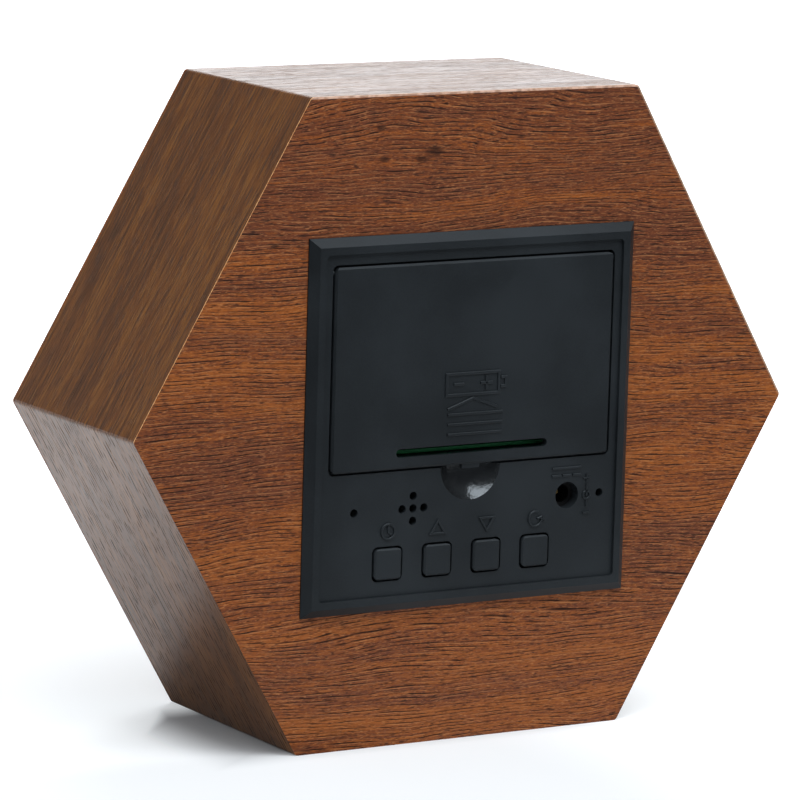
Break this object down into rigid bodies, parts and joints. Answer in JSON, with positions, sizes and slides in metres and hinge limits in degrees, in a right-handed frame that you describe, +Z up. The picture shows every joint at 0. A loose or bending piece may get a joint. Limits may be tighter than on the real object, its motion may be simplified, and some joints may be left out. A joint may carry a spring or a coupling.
{
  "type": "digital alarm clock",
  "caption": "Hexagonal wooden alarm clock with digits that shine through its front veneer, and a black rear unit with a battery door, buttons and a power socket.",
  "frame": {"origin": "centre of the bounding box at the surface that the clock stands on", "axes": "+Z up; the display faces -Y and the controls face +Y; X runs along the flat top and bottom"},
  "size_m": [0.1498, 0.053, 0.13],
  "materials": {
    "walnut_veneer": "walnut wood-grain film, satin",
    "fibreboard": "raw fibreboard",
    "black_plastic": "fine-textured charcoal moulding",
    "dark_plastic": "plain black moulding",
    "circuit_board": "green solder mask",
    "plated_steel": "nickel plated",
    "brass": "bare",
    "cell_wrap": "plain green wrap",
    "milky_plastic": "milky",
    "smoked_plastic": "smoked",
    "red_wire": "insulation",
    "black_wire": "insulation",
    "grey_ribbon": "flat cable",
    "blue_sleeve": "shrink sleeve"
  },
  "bodies": {
    "case": {"wall_top": "walnut_veneer", "wall_upper_left": "walnut_veneer", "wall_lower_left": "walnut_veneer", "wall_bottom": "walnut_veneer", "wall_lower_right": "walnut_veneer", "wall_upper_right": "walnut_veneer", "back_panel": "fibreboard", "back_veneer": "walnut_veneer", "front_panel": "fibreboard", "front_veneer": "walnut_veneer", "rear_housing": "black_plastic", "switch_bodies": "dark_plastic", "control_board": "circuit_board", "control_board_screws": "plated_steel", "dc_jack": "dark_plastic", "dc_jack_pin": "brass", "buzzer": "dark_plastic", "microphone": "plated_steel", "thermistor": "dark_plastic", "battery_lower": "cell_wrap", "battery_middle": "cell_wrap", "battery_upper": "cell_wrap", "battery_springs": "plated_steel", "battery_contacts": "plated_steel", "positive_lead": "red_wire", "negative_lead": "black_wire", "display_diffuser": "smoked_plastic", "segment_frame": "milky_plastic", "segment_guides": "milky_plastic", "segment_leds": "milky_plastic", "display_board": "circuit_board", "display_screws": "plated_steel", "clock_chip": "dark_plastic", "quartz_crystal": "plated_steel", "filter_capacitor": "blue_sleeve", "ribbon_headers": "milky_plastic", "ribbon_cable": "grey_ribbon"},
    "door": {"battery_door": "black_plastic"},
    "set_key": {"set_button": "black_plastic", "set_plunger": "dark_plastic"},
    "up_key": {"up_button": "black_plastic", "up_plunger": "dark_plastic"},
    "down_key": {"down_button": "black_plastic", "down_plunger": "dark_plastic"},
    "reset_key": {"reset_button": "black_plastic", "reset_plunger": "dark_plastic"}
  },
  "joints": [
    {"name": "door_hinge", "type": "hinge", "parent": "case", "child": "door", "pos_m": [0, 0.02505, 0.0956], "axis": [1, 0, 0], "range_deg": [0, 90]},
    {"name": "set_press", "type": "slide", "parent": "case", "child": "set_key", "axis": [0, -1, 0], "range_m": [0, 0.0004], "stiffness_N_per_m": 300},
    {"name": "up_press", "type": "slide", "parent": "case", "child": "up_key", "axis": [0, -1, 0], "range_m": [0, 0.0004], "stiffness_N_per_m": 300},
    {"name": "down_press", "type": "slide", "parent": "case", "child": "down_key", "axis": [0, -1, 0], "range_m": [0, 0.0004], "stiffness_N_per_m": 300},
    {"name": "reset_press", "type": "slide", "parent": "case", "child": "reset_key", "axis": [0, -1, 0], "range_m": [0, 0.0004], "stiffness_N_per_m": 300}
  ]
}
